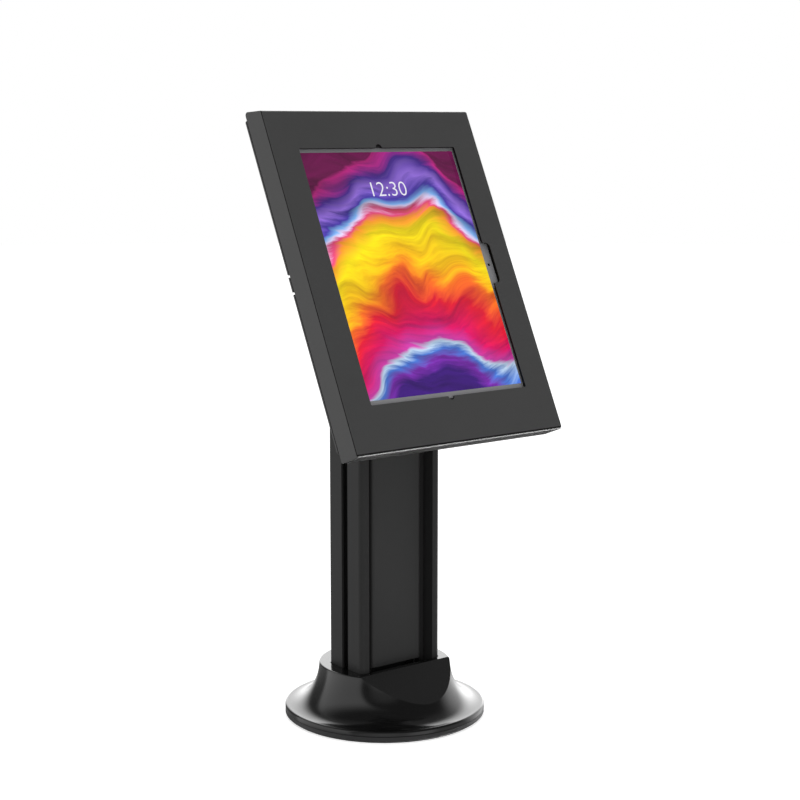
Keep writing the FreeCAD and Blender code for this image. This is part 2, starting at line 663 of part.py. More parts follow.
def front_cover():
    """Bent and welded sheet-steel front with its window and top hem."""
    outer = climbing_block(HALF_W, 0, WALL_DEPTH, 0)
    at_face = [e for e in outer.Edges if e.BoundBox.YMax < FIT]
    bends = [e for e in at_face if e.BoundBox.ZLength < FIT]
    outer = outer.makeFillet(BEND_RADIUS, bends)
    at_back = [e for e in outer.Edges if e.BoundBox.YMin > WALL_DEPTH - FIT]
    hem_edge = [e for e in at_back if e.BoundBox.ZMin > HALF_H + TOP_CLIMB - FIT]
    outer = outer.makeFillet(HEM_RADIUS, hem_edge)
    in_w = HALF_W - SHEET
    hollow = climbing_block(in_w, SHEET, WALL_DEPTH + OVERCUT, SHEET)
    inner_bends = [e for e in hollow.Edges if e.BoundBox.YMin < SHEET + FIT]
    hollow = hollow.makeFillet(BEND_RADIUS - SHEET, inner_bends)
    shell = cut_all(outer.cut(hollow), window_tools() + seam_tools())
    hem = rod(HEM_RADIUS, 2 * in_w, Vector(-in_w, HINGE_Y, HINGE_Z), X_AXIS)
    return shell.fuse(hem)


def seam_tools():
    """Cutters for the seams between the cover's face and its side walls."""
    low = -HALF_H - OVERCUT
    top = HALF_H + TOP_CLIMB
    far = SEAM_START + SEAM_WIDTH
    right = block(HALF_W - SEAM_DEPTH, HALF_W + OVERCUT, SEAM_START, far, low, top)
    left = block(-HALF_W - OVERCUT, -HALF_W + SEAM_DEPTH, SEAM_START, far, low, top)
    return [right, left]


def cover_catch():
    """The strip welded inside the cover's bottom wall, which the lock's cam grips."""
    foot = -HALF_H + FOOT_CLIMB
    strip = block(
        LOCK_X - CATCH_WIDTH / 2, LOCK_X + CATCH_WIDTH / 2,
        WALL_DEPTH - SHEET, WALL_DEPTH, foot - OVERCUT, foot + CATCH_HEIGHT)
    hollow = climbing_block(HALF_W - SHEET, SHEET, WALL_DEPTH + OVERCUT, SHEET)
    return leaning(strip.common(hollow))


def window_tools():
    """Cutters for the window, its two notches and the sensor slot."""
    near = -OVERCUT
    far = SHEET + OVERCUT
    half_w = WINDOW_WIDTH / 2
    half_h = WINDOW_HEIGHT / 2
    low = WINDOW_RISE - half_h
    top = WINDOW_RISE + half_h
    window = rounded_block(-half_w, half_w, near, far, low, top, WINDOW_ROUND, Y_AXIS)
    notches = [rod(NOTCH_RADIUS, far - near, Vector(0, near, z), Y_AXIS) for z in (low, top)]
    slot = rounded_block(
        half_w - 2 * SENSOR_SLOT_ROUND, half_w + SENSOR_SLOT_DEPTH, near, far,
        SENSOR_Z - SENSOR_SLOT_LENGTH / 2, SENSOR_Z + SENSOR_SLOT_LENGTH / 2,
        SENSOR_SLOT_ROUND, Y_AXIS)
    return [window, slot] + notches


def hook():
    """One curled hook that the cover's top hem turns in."""
    inner = HEM_RADIUS + HOOK_GAP
    outer = inner + SHEET
    middle = (HOOK_START + HOOK_END) / 2
    inside = [around_hinge(inner, turn) for turn in (HOOK_START, middle, HOOK_END)]
    outside = [around_hinge(outer, turn) for turn in (HOOK_START, middle, HOOK_END)]
    wire = Part.Wire([
        Part.Arc(*outside).toShape(),
        Part.makeLine(outside[2], inside[2]),
        Part.Arc(*inside).toShape().reversed(),
        Part.makeLine(inside[0], outside[0]),
    ])
    curl = Part.Face(wire).extrude(Vector(HOOK_WIDTH, 0, 0))
    tab_top = HINGE_Z + HEM_RADIUS - SHEET
    tab = block(0, HOOK_WIDTH, TRAY_INSIDE, TRAY_BACK, TRAY_TOP, tab_top)
    return curl.fuse(tab)


def around_hinge(radius, turn):
    """A point at a radius and angle from the cover's hinge line."""
    angle = math.radians(turn)
    return Vector(0, HINGE_Y + radius * math.cos(angle), HINGE_Z + radius * math.sin(angle))


def rear_tray():
    """Sheet-steel back plate with inner walls at its sides and foot and two top hooks."""
    half = TRAY_HALF_W
    outer = block(-half, half, TRAY_FLANGE_FRONT, TRAY_BACK, TRAY_BOTTOM, TRAY_TOP)
    foot_corners = [e for e in outer.Edges if tray_corner(e)]
    outer = outer.makeFillet(BEND_RADIUS, foot_corners)
    in_half = half - SHEET
    near = TRAY_FLANGE_FRONT - OVERCUT
    hollow = block(-in_half, in_half, near, TRAY_INSIDE, TRAY_BOTTOM + SHEET, TRAY_TOP + OVERCUT)
    wide = HALF_W - TRAY_LIP_INSET
    plate = rounded_block(
        -wide, wide, TRAY_INSIDE, TRAY_BACK, TRAY_BOTTOM, TRAY_PLATE_TOP, BEND_RADIUS, Y_AXIS)
    tray = outer.cut(hollow).fuse(plate)
    first = -HOOK_SPACING * (HOOK_COUNT - 1) / 2 - HOOK_WIDTH / 2
    starts = [first + HOOK_SPACING * index for index in range(HOOK_COUNT)]
    hooks = [moved(hook(), Vector(start, 0, 0)) for start in starts]
    tray = fuse_all([tray] + hooks)
    return cut_all(tray, tray_tools())


def tray_corner(edge):
    """Whether an edge is one of the two that run into the tray at its foot."""
    box = edge.BoundBox
    return box.ZMax < TRAY_BOTTOM + FIT and box.YLength > FIT


def tray_tools():
    """Cutters for the tray's holes, reliefs and cam slot."""
    near = TRAY_INSIDE - OVERCUT
    through = SHEET + 2 * OVERCUT
    plate_hole = PLATE_SCREW_RADIUS + FIT
    holder_hole = HOLDER_SCREW_RADIUS + FIT
    tools = [rod(plate_hole, through, point, Y_AXIS) for point in pattern_points(near)]
    tools.append(rod(GROMMET_HOLE_RADIUS, through, Vector(0, near, 0), Y_AXIS))
    tools += [rod(holder_hole, through, point, Y_AXIS) for point in holder_points(near)]
    tools.append(flatted_rod(LOCK_STUB_RADIUS, LOCK_FLAT, near, TRAY_BACK + OVERCUT))
    swing = math.hypot(CAM_REACH, CAM_WIDTH / 2)
    reach = math.sqrt(swing ** 2 - (LOCK_RISE - SHEET) ** 2)
    tools.append(block(
        LOCK_X - reach - CAM_SLOT_MARGIN, LOCK_X + CAM_WIDTH / 2 + CAM_SLOT_MARGIN,
        CAM_FRONT - CAM_SLOT_MARGIN, CAM_BACK + CAM_SLOT_MARGIN,
        TRAY_BOTTOM - OVERCUT, TRAY_BOTTOM + SHEET + OVERCUT))
    for sx in (-1, 1):
        x0, x1 = sorted((sx * (HALF_W - RELIEF_DEPTH), sx * (HALF_W + OVERCUT)))
        for sz in (-1, 1):
            z = RELIEF_RISE + sz * RELIEF_SPACING / 2
            tools.append(block(
                x0, x1, WALL_DEPTH - SHEET, TRAY_BACK + OVERCUT,
                z - RELIEF_WIDTH / 2, z + RELIEF_WIDTH / 2))
    return tools


def flatted_rod(radius, flat, y0, y1):
    """A round bar with two flats, on the lock's axis."""
    bar = rod(radius, y1 - y0, Vector(LOCK_X, y0, LOCK_Z), Y_AXIS)
    flats = block(LOCK_X - flat, LOCK_X + flat, y0, y1, LOCK_Z - radius, LOCK_Z + radius)
    return bar.common(flats)


def cable_grommet():
    """Rubber ring that lines the tray's cable hole."""
    lip_radius = GROMMET_HOLE_RADIUS + GROMMET_LIP
    neck = rod(GROMMET_HOLE_RADIUS, SHEET, Vector(0, TRAY_INSIDE, 0), Y_AXIS)
    lips = [rod(lip_radius, GROMMET_LIP_THICK, Vector(0, y, 0), Y_AXIS)
            for y in (TRAY_INSIDE - GROMMET_LIP_THICK, TRAY_BACK)]
    length = SHEET + 2 * GROMMET_LIP_THICK + 2 * OVERCUT
    start = TRAY_INSIDE - GROMMET_LIP_THICK - OVERCUT
    bore = rod(GROMMET_BORE_RADIUS, length, Vector(0, start, 0), Y_AXIS)
    return fuse_all([neck] + lips).cut(bore)


def holder_points(depth):
    """Where the corner holders' screws stand, in leaning axes."""
    x = TABLET_HALF_W + HOLDER_GAP - HOLDER_SHELF / 2
    z = TABLET_HALF_H + HOLDER_GAP - HOLDER_SHELF / 2
    return [Vector(sx * x, depth, WINDOW_RISE + sz * z) for sx in (-1, 1) for sz in (-1, 1)]


def corner_holders():
    """Four moulded corners that seat and centre the tablet."""
    outer_x = TABLET_HALF_W + HOLDER_GAP + HOLDER_WALL
    outer_z = TABLET_HALF_H + HOLDER_GAP + HOLDER_WALL
    body = rounded_block(
        outer_x - HOLDER_ARM, outer_x, HOLDER_FRONT, TRAY_INSIDE,
        outer_z - HOLDER_ARM, outer_z, HOLDER_WALL / 2, Y_AXIS)
    pocket_x = outer_x - HOLDER_WALL
    pocket_z = outer_z - HOLDER_WALL
    pocket = block(0, pocket_x, 0, TABLET_BACK, 0, pocket_z)
    relief = block(0, pocket_x - HOLDER_SHELF, 0, TRAY_BACK, 0, pocket_z - HOLDER_SHELF)
    holder = body.cut(pocket).cut(relief)
    holders = []
    for sx in (-1, 1):
        for sz in (-1, 1):
            corner = holder.copy()
            if sx < 0:
                corner = corner.mirror(Vector(0, 0, 0), X_AXIS)
            if sz < 0:
                corner = corner.mirror(Vector(0, 0, 0), Z_AXIS)
            corner.translate(Vector(0, 0, WINDOW_RISE))
            holders.append(corner)
    hole = HOLDER_SCREW_RADIUS + FIT
    sink = Part.makeCone(HOLDER_SCREW_HEAD_RADIUS + FIT, hole, HOLDER_SCREW_HEAD_HEIGHT)
    tools = [moved(sink, point, X_AXIS, -90) for point in holder_points(TABLET_BACK)]
    length = TRAY_INSIDE - TABLET_BACK
    tools += [rod(hole, length, point, Y_AXIS) for point in holder_points(TABLET_BACK)]
    return group([leaning(cut_all(holder, tools)) for holder in holders])


def holder_screws():
    """Countersunk screws that hold the corner holders to the tray."""
    length = TRAY_BACK - TABLET_BACK
    screw = countersunk_screw(
        HOLDER_SCREW_RADIUS, length, HOLDER_SCREW_HEAD_RADIUS, HOLDER_SCREW_HEAD_HEIGHT)
    return group([leaning(seated(screw, point)) for point in holder_points(TABLET_BACK)])


def back_foam():
    """Two foam strips behind the tablet."""
    strips = []
    for sx in (-1, 1):
        x = sx * FOAM_SPACING / 2
        strips.append(leaning(block(
            x - FOAM_WIDTH / 2, x + FOAM_WIDTH / 2, TABLET_BACK, TRAY_INSIDE,
            WINDOW_RISE - FOAM_LENGTH / 2, WINDOW_RISE + FOAM_LENGTH / 2)))
    return group(strips)


def tablet_outline(inset, y0, y1):
    """The tablet's rounded outline, drawn in by an inset, between two depths."""
    half_w = TABLET_HALF_W - inset
    half_h = TABLET_HALF_H - inset
    low = WINDOW_RISE - half_h
    top = WINDOW_RISE + half_h
    return rounded_block(-half_w, half_w, y0, y1, low, top, TABLET_ROUND - inset, Y_AXIS)


def tablet_shell():
    """The tablet's metal back, with a softened rear edge."""
    solid = tablet_outline(0, TABLET_DEPTH, TABLET_BACK)
    rear = [e for e in solid.Edges if e.BoundBox.YMin > TABLET_BACK - FIT]
    solid = solid.makeFillet(TABLET_REAR_ROUND, rear)
    pocket = tablet_outline(GLASS_RIM, TABLET_DEPTH - OVERCUT, TABLET_DEPTH + GLASS_THICK)
    return leaning(solid.cut(pocket))


def lens_place(depth):
    """Where the tablet's front lens stands, in its right-hand border."""
    return Vector(TABLET_HALF_W - LENS_INSET, depth, SENSOR_Z)


def tablet_glass():
    """The tablet's front glass, open for its lens."""
    glass = tablet_outline(GLASS_RIM + FIT, TABLET_DEPTH, TABLET_DEPTH + GLASS_THICK)
    start = lens_place(TABLET_DEPTH - OVERCUT)
    hole = rod(LENS_RADIUS + FIT, GLASS_THICK + 2 * OVERCUT, start, Y_AXIS)
    return leaning(glass.cut(hole))


def tablet_lens():
    """The small lens in the tablet's border."""
    depth = TABLET_DEPTH + GLASS_THICK - LENS_THICK
    return leaning(rod(LENS_RADIUS, LENS_THICK, lens_place(depth), Y_AXIS))


def cover_gasket():
    """Foam strips inside the cover, around the window and past its slot."""
    front = SHEET
    back = TABLET_DEPTH - SOFT_GAP
    half_w = WINDOW_WIDTH / 2
    half_h = WINDOW_HEIGHT / 2
    side_in = half_w + GASKET_INSET / 2
    side_out = TABLET_HALF_W - GLASS_RIM
    end_in = half_h + GASKET_INSET / 2
    end_out = end_in + GASKET_WIDTH
    slot_half = SENSOR_SLOT_LENGTH / 2 + GASKET_INSET
    slot_low = SENSOR_SLOT_RISE - slot_half
    slot_top = SENSOR_SLOT_RISE + slot_half
    spans = [
        (-side_out, -side_in, -half_h, half_h),
        (side_in, side_out, -half_h, slot_low),
        (side_in, side_out, slot_top, half_h),
        (-half_w, half_w, end_in, end_out),
        (-half_w, half_w, -end_out, -end_in),
    ]
    strips = []
    for x0, x1, z0, z1 in spans:
        strips.append(leaning(block(x0, x1, front, back, WINDOW_RISE + z0, WINDOW_RISE + z1)))
    return group(strips)


def lock_body():
    """The cam lock's fixed barrel: flange, cylinder and flatted stub."""
    axis = Vector(LOCK_X, TRAY_BACK, LOCK_Z)
    flange = rod(LOCK_FLANGE_RADIUS, LOCK_FLANGE_THICK, axis, Y_AXIS)
    barrel = rod(LOCK_BODY_RADIUS, LOCK_FLANGE_THICK + LOCK_BODY_LENGTH, axis, Y_AXIS)
    stub_end = TRAY_INSIDE - LOCK_NUT_HEIGHT
    stub = flatted_rod(LOCK_STUB_RADIUS - FIT, LOCK_FLAT - FIT, stub_end, TRAY_BACK + OVERCUT)
    end = TRAY_BACK + LOCK_FLANGE_THICK + LOCK_BODY_LENGTH
    start = Vector(LOCK_X, stub_end - OVERCUT, LOCK_Z)
    bore = rod(LOCK_PLUG_RADIUS + FIT, end - stub_end + 2 * OVERCUT, start, Y_AXIS)
    return leaning(fuse_all([flange, barrel, stub]).cut(bore))


def lock_nut():
    """Thin hexagon nut on the lock's stub, inside the tray."""
    face = TRAY_INSIDE - LOCK_NUT_HEIGHT
    prism = hex_prism(LOCK_NUT_FLATS, LOCK_NUT_HEIGHT)
    nut = moved(prism, Vector(LOCK_X, face, LOCK_Z), X_AXIS, -90)
    start = Vector(LOCK_X, face - OVERCUT, LOCK_Z)
    return leaning(nut.cut(rod(LOCK_STUB_RADIUS, LOCK_NUT_HEIGHT + 2 * OVERCUT, start, Y_AXIS)))


def lock_plug():
    """The turning plug with its keyway."""
    end = TRAY_BACK + LOCK_FLANGE_THICK + LOCK_BODY_LENGTH
    plug = rod(LOCK_PLUG_RADIUS, end - CAM_BACK, Vector(LOCK_X, CAM_BACK, LOCK_Z), Y_AXIS)
    keyway = block(
        LOCK_X - KEYWAY_LENGTH / 2, LOCK_X + KEYWAY_LENGTH / 2, end - KEYWAY_DEPTH, end + OVERCUT,
        LOCK_Z - KEYWAY_WIDTH / 2, LOCK_Z + KEYWAY_WIDTH / 2)
    start = Vector(LOCK_X, CAM_BACK - OVERCUT, LOCK_Z)
    hole = rod(CAM_SCREW_RADIUS + FIT, CAM_SCREW_LENGTH, start, Y_AXIS)
    return leaning(plug.cut(keyway).cut(hole))


def lock_cam():
    """The flat cam, turned aside where the lock is open."""
    half = CAM_WIDTH / 2
    arm = rounded_block(
        LOCK_X - CAM_REACH, LOCK_X + half, CAM_FRONT, CAM_BACK,
        LOCK_Z - half, LOCK_Z + half, half / 2, Y_AXIS)
    start = Vector(LOCK_X, CAM_FRONT - OVERCUT, LOCK_Z)
    return leaning(arm.cut(rod(CAM_SCREW_RADIUS + FIT, CAM_THICK + 2 * OVERCUT, start, Y_AXIS)))


def cam_screw():
    """The small screw that holds the cam on the plug."""
    screw = button_screw(
        CAM_SCREW_RADIUS, CAM_THICK + CAM_SCREW_LENGTH / 2, CAM_SCREW_HEAD_RADIUS, CAM_SCREW_HEAD_HEIGHT)
    return leaning(seated(screw, Vector(LOCK_X, CAM_FRONT, LOCK_Z)))


def main():
    """Builds and writes every piece."""
    pieces = {
        "base_pad": base_pad(),
        "base_plate": base_plate(),
        "base_cover": base_cover(),
        "column": column(),
        "column_screws": column_screws(),
        "front_panel": cable_panel(0),
        "rear_panel": cable_panel(180),
        "column_cap": column_cap(),
        "cap_screws": cap_screws(),
        "head_bracket": head_bracket(),
        "slot_nuts": slot_nuts(),
        "side_screws": side_screws(),
        "plate_screws": plate_screws(),
        "front_cover": leaning(front_cover()),
        "cover_catch": cover_catch(),
        "cover_gasket": cover_gasket(),
        "rear_tray": leaning(rear_tray()),
        "cable_grommet": leaning(cable_grommet()),
        "corner_holders": corner_holders(),
        "holder_screws": holder_screws(),
        "back_foam": back_foam(),
        "tablet_shell": tablet_shell(),
        "tablet_glass": tablet_glass(),
        "tablet_lens": tablet_lens(),
        "lock_body": lock_body(),
        "lock_nut": lock_nut(),
        "lock_plug": lock_plug(),
        "lock_cam": lock_cam(),
        "cam_screw": cam_screw(),
    }
    for name, shape in pieces.items():
        write(name, shape)


main()
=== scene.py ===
import bmesh
import bpy
import json
import math
from mathutils import Matrix, Vector


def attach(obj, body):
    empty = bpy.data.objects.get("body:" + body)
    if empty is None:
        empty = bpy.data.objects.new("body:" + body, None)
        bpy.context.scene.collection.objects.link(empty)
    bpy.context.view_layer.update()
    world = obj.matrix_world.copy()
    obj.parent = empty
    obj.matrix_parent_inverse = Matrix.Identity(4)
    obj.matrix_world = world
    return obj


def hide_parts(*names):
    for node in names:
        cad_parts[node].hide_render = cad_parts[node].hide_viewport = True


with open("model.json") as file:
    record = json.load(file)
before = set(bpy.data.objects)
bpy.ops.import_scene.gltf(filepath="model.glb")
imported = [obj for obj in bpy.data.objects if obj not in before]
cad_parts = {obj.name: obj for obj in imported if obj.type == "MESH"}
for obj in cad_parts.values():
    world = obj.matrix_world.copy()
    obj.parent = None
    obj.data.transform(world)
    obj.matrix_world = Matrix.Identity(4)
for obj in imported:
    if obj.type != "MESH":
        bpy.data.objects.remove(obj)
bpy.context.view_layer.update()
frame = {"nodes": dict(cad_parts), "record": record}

# Places that repeat the part's own, in metres. The enclosure leans: its own
# axes are X across, Y into it and Z up its face.
LEAN = math.radians(25.5)
FACE = Vector((0.0, -0.040, 0.3675))
LEANING = Matrix.Translation(FACE) @ Matrix.Rotation(-LEAN, 4, "X")
GLASS_DEPTH = 0.0042

# Display
SCREEN_WIDTH = 0.1568
SCREEN_LOW = -0.0975
SCREEN_TOP = 0.1061
PICTURE_LIFT = 0.00006      # off the glass
DIGITS_LIFT = 0.0001
DIGITS = "12:30"
DIGITS_HEIGHT = 0.0125
DIGITS_RISE = 0.068
DIGITS_OFFSET = -0.0002     # thins their strokes
TYPE_SHARE = 0.7            # a digit's height in a type size of one
FLAT_TURN = 0.01            # radians between faces that count as one flat

# Bell
BELL_RADIUS = 0.0825
BELL_FOOT = 0.006
BELL_TOP = 0.0445
BELL_WALL = 0.0024
BELL_TURNS = 144
RIM_TOP = 0.010
RIM_ROUND = 0.0018
RIM_SHELF = 0.0007
NECK_RADIUS = 0.0542
NECK_ROUND = 0.0012
SWEEP_STEP = 3              # degrees between points of the flare
ROUND_STEP = 10             # degrees between points of a small rounding
SHELF_EDGE = -0.0275
FACET_OUT = Vector((0, -0.0345, 0.0502)).normalized()
SKIM = 0.0002               # what the facet leaves above the rim's flat top
OPENING = (0.0416, 0.0226)
OPENING_ROUND = 0.0046
CORNER_STEPS = 8
GUIDE_WALL = 0.0018
GUIDE_LOW = 0.0355
GUIDE_TOP = 0.0433
RIB_TURNS = (22.5, 67.5, 112.5, 157.5)
WELD = 1e-6                 # points closer than this become one
SAME_PLANE = 0.9999         # cosine of the angle between faces of one flat
CREASE = math.radians(30)

# Camera
CAMERA_PLACE = (-0.8962, -1.1370, 0.4834)
CAMERA_TURN = math.radians(-38.75)
CAMERA_DROP = math.radians(8.69)
CAMERA_LENS = 81.16
CAMERA_SENSOR = 36.0


# Shader helpers

def add_node(tree, kind, **settings):
    """One shader node, with its plain settings and unlinked inputs."""
    node = tree.nodes.new(kind)
    for name, value in settings.items():
        if name in node.inputs:
            node.inputs[name].default_value = value
        else:
            setattr(node, name, value)
    return node


def feed(tree, source, target):
    """Links an output socket to an input socket, or sets the input to a plain value."""
    if isinstance(source, bpy.types.NodeSocket):
        tree.links.new(source, target)
    else:
        target.default_value = source


def calc(tree, operation, *values, clamp=False):
    """The result of a math node on sockets or numbers."""
    node = add_node(tree, "ShaderNodeMath", operation=operation, use_clamp=clamp)
    for value, target in zip(values, node.inputs):
        feed(tree, value, target)
    return node.outputs[0]


def calc_vector(tree, operation, first, second):
    """The result of a vector math node on sockets or plain values."""
    node = add_node(tree, "ShaderNodeVectorMath", operation=operation)
    feed(tree, first, node.inputs[0])
    feed(tree, second, node.inputs["Scale" if operation == "SCALE" else 1])
    return node.outputs["Value" if operation == "DOT_PRODUCT" else "Vector"]


def noise(tree, vector, scale, detail, roughness=0.5):
    """A noise texture over a vector."""
    node = add_node(tree, "ShaderNodeTexNoise", Detail=detail, Roughness=roughness)
    feed(tree, vector, node.inputs["Vector"])
    feed(tree, scale, node.inputs["Scale"])
    return node


def mix_shaders(tree, share, first, second):
    """A mix of two shaders by the second one's share."""
    node = add_node(tree, "ShaderNodeMixShader")
    for source, target in zip((share, first, second), node.inputs):
        feed(tree, source, target)
    return node.outputs[0]


def colour(red, green, blue):
    """An opaque colour from sRGB values of 0 to 255."""
    def linear(value):
        share = value / 255
        return share / 12.92 if share <= 0.04045 else ((share + 0.055) / 1.055) ** 2.4
    return (linear(red), linear(green), linear(blue), 1.0)


def new_group(name, inputs, outputs):
    """A shader group with named sockets: (name, kind, value) and (name, kind)."""
    tree = bpy.data.node_groups.new(name, "ShaderNodeTree")
    for label, kind, value in inputs:
        socket = tree.interface.new_socket(label, in_out="INPUT", socket_type="NodeSocket" + kind)
        socket.default_value = value
    for label, kind in outputs:
        tree.interface.new_socket(label, in_out="OUTPUT", socket_type="NodeSocket" + kind)
    given = add_node(tree, "NodeGroupInput").outputs
    result = add_node(tree, "NodeGroupOutput").inputs
    return tree, given, result


def new_material(name):
    """A material with its node tree and its Principled shader."""
    material = bpy.data.materials.new(name)
    material.use_nodes = True
    tree = material.node_tree
    return material, tree, tree.nodes["Principled BSDF"]


# Finishes

def grain_group():
    """A fine grain over broad, faint clouds: a colour, a roughness and a height."""
    tree, given, result = new_group(
        "surface_grain",
        [("Color", "Color", (0.5, 0.5, 0.5, 1)), ("Stretch", "Vector", (1, 1, 1)),
         ("Grain Scale", "Float", 1500.0), ("Grain Amount", "Float", 0.1),
         ("Cloud Scale", "Float", 18.0), ("Cloud Amount", "Float", 0.08),
         ("Roughness", "Float", 0.5), ("Roughness Spread", "Float", 0.08)],
        [("Color", "Color"), ("Roughness", "Float"), ("Height", "Float")])
    place = add_node(tree, "ShaderNodeTexCoord").outputs["Object"]
    stretched = calc_vector(tree, "MULTIPLY", place, given["Stretch"])
    grain = noise(tree, stretched, given["Grain Scale"], detail=3.0).outputs["Fac"]
    cloud = noise(tree, place, given["Cloud Scale"], detail=4.0).outputs["Fac"]

    def centred(source, amount):
        return calc(tree, "MULTIPLY", calc(tree, "SUBTRACT", source, 0.5), amount)

    fine = centred(grain, given["Grain Amount"])
    broad = centred(cloud, given["Cloud Amount"])
    level = calc(tree, "ADD", calc(tree, "ADD", fine, broad), 1.0)
    feed(tree, calc_vector(tree, "SCALE", given["Color"], level), result["Color"])
    spread = centred(cloud, given["Roughness Spread"])
    feed(tree, calc(tree, "ADD", spread, given["Roughness"], clamp=True), result["Roughness"])
    feed(tree, grain, result["Height"])
    return tree


def shade_paint_group():
    """Gives the cover painted shade in a second, dark colour: inside it, at its cut edges, in its
    seams and along the line between its face and its bottom bend."""
    tree, given, result = new_group(
        "painted_shade_group",
        [("Color", "Color", (0.5, 0.5, 0.5, 1)), ("Lining", "Color", (0, 0, 0, 1)),
         ("Roughness", "Float", 0.5), ("Lining Roughness", "Float", 0.95),
         ("Face Lean", "Float", -LEAN), ("Skin", "Float", 0.00012),
         ("Half Width", "Float", 0.1012), ("Half Height", "Float", 0.1365),
         ("Seam Depth", "Float", 0.0016), ("Seam Floor", "Float", 0.1028),
         ("Seam Mouth", "Float", 0.10335), ("Foot Depth", "Float", 0.0008),
         ("Foot Low", "Float", -0.1389), ("Foot High", "Float", -0.1379)],
        [("Color", "Color"), ("Roughness", "Float")])
    place = add_node(tree, "ShaderNodeTexCoord").outputs["Object"]
    upright = add_node(tree, "ShaderNodeVectorRotate", rotation_type="X_AXIS", invert=True)
    feed(tree, calc_vector(tree, "SUBTRACT", place, FACE), upright.inputs["Vector"])
    feed(tree, given["Face Lean"], upright.inputs["Angle"])
    axes = add_node(tree, "ShaderNodeSeparateXYZ")
    feed(tree, upright.outputs[0], axes.inputs[0])
    across, depth, rise = axes.outputs

    def above(source, limit):
        return calc(tree, "GREATER_THAN", source, given[limit])

    def below(source, limit):
        return calc(tree, "LESS_THAN", source, given[limit])

    def all_of(found, *tests):
        for test in tests:
            found = calc(tree, "MULTIPLY", found, test)
        return found

    # Masks for painted shade: the cover's hollow and cut edges, its seam grooves, and a dark line
    # at the foot of its face.
    side = calc(tree, "ABSOLUTE", across)
    behind = above(depth, "Skin")
    hollow = all_of(behind, below(side, "Half Width"),
                    below(calc(tree, "ABSOLUTE", rise), "Half Height"))
    seam = all_of(behind, below(depth, "Seam Depth"), above(side, "Seam Floor"),
                  below(side, "Seam Mouth"))
    foot = all_of(below(depth, "Foot Depth"), above(rise, "Foot Low"), below(rise, "Foot High"))
    painted_shade_mask = calc(tree, "MAXIMUM", calc(tree, "MAXIMUM", hollow, seam), foot)
    pick = add_node(tree, "ShaderNodeMix", data_type="RGBA")
    shades = {socket.identifier: socket for socket in pick.inputs}
    picked = {socket.identifier: socket for socket in pick.outputs}
    feed(tree, painted_shade_mask, shades["Factor_Float"])
    feed(tree, given["Color"], shades["A_Color"])
    feed(tree, given["Lining"], shades["B_Color"])
    feed(tree, picked["Result_Color"], result["Color"])
    matt = add_node(tree, "ShaderNodeMapRange")
    feed(tree, painted_shade_mask, matt.inputs["Value"])
    feed(tree, given["Roughness"], matt.inputs["To Min"])
    feed(tree, given["Lining Roughness"], matt.inputs["To Max"])
    feed(tree, matt.outputs[0], result["Roughness"])
    return tree


GRAIN = grain_group()
SHADE_PAINT = shade_paint_group()


def finish(name, base, roughness, bump=0.0, bump_depth=0.0001, grain=None, painted_shade=None, **shader):
    """A material: the grain group feeding a Principled shader, with a bump."""
    material, tree, surface = new_material(name)
    for label, value in shader.items():
        surface.inputs[label.replace("_", " ")].default_value = value
    group = add_node(tree, "ShaderNodeGroup", node_tree=GRAIN, Color=base, Roughness=roughness,
                     **(grain or {}))
    looks = group
    # Painted shade: a dark colour laid over the surface wherever the shade paint group's masks
    # fall.
    if painted_shade:
        looks = add_node(tree, "ShaderNodeGroup", node_tree=SHADE_PAINT, Lining=painted_shade)
        feed(tree, group.outputs["Color"], looks.inputs["Color"])
        feed(tree, group.outputs["Roughness"], looks.inputs["Roughness"])
    feed(tree, looks.outputs["Color"], surface.inputs["Base Color"])
    feed(tree, looks.outputs["Roughness"], surface.inputs["Roughness"])
    if bump:
        relief = add_node(tree, "ShaderNodeBump", Strength=bump, Distance=bump_depth)
        feed(tree, group.outputs["Height"], relief.inputs["Height"])
        feed(tree, relief.outputs["Normal"], surface.inputs["Normal"])
    return material


def powder_coat(name, painted_shade=None):
    """The enclosure's coat, plain or with painted shade in a second colour."""
    return finish(name, colour(61, 61, 61), 0.36, 0.12, 0.0002,
                  {"Grain Scale": 1400.0, "Grain Amount": 0.12}, painted_shade, Specular_IOR_Level=0.25)


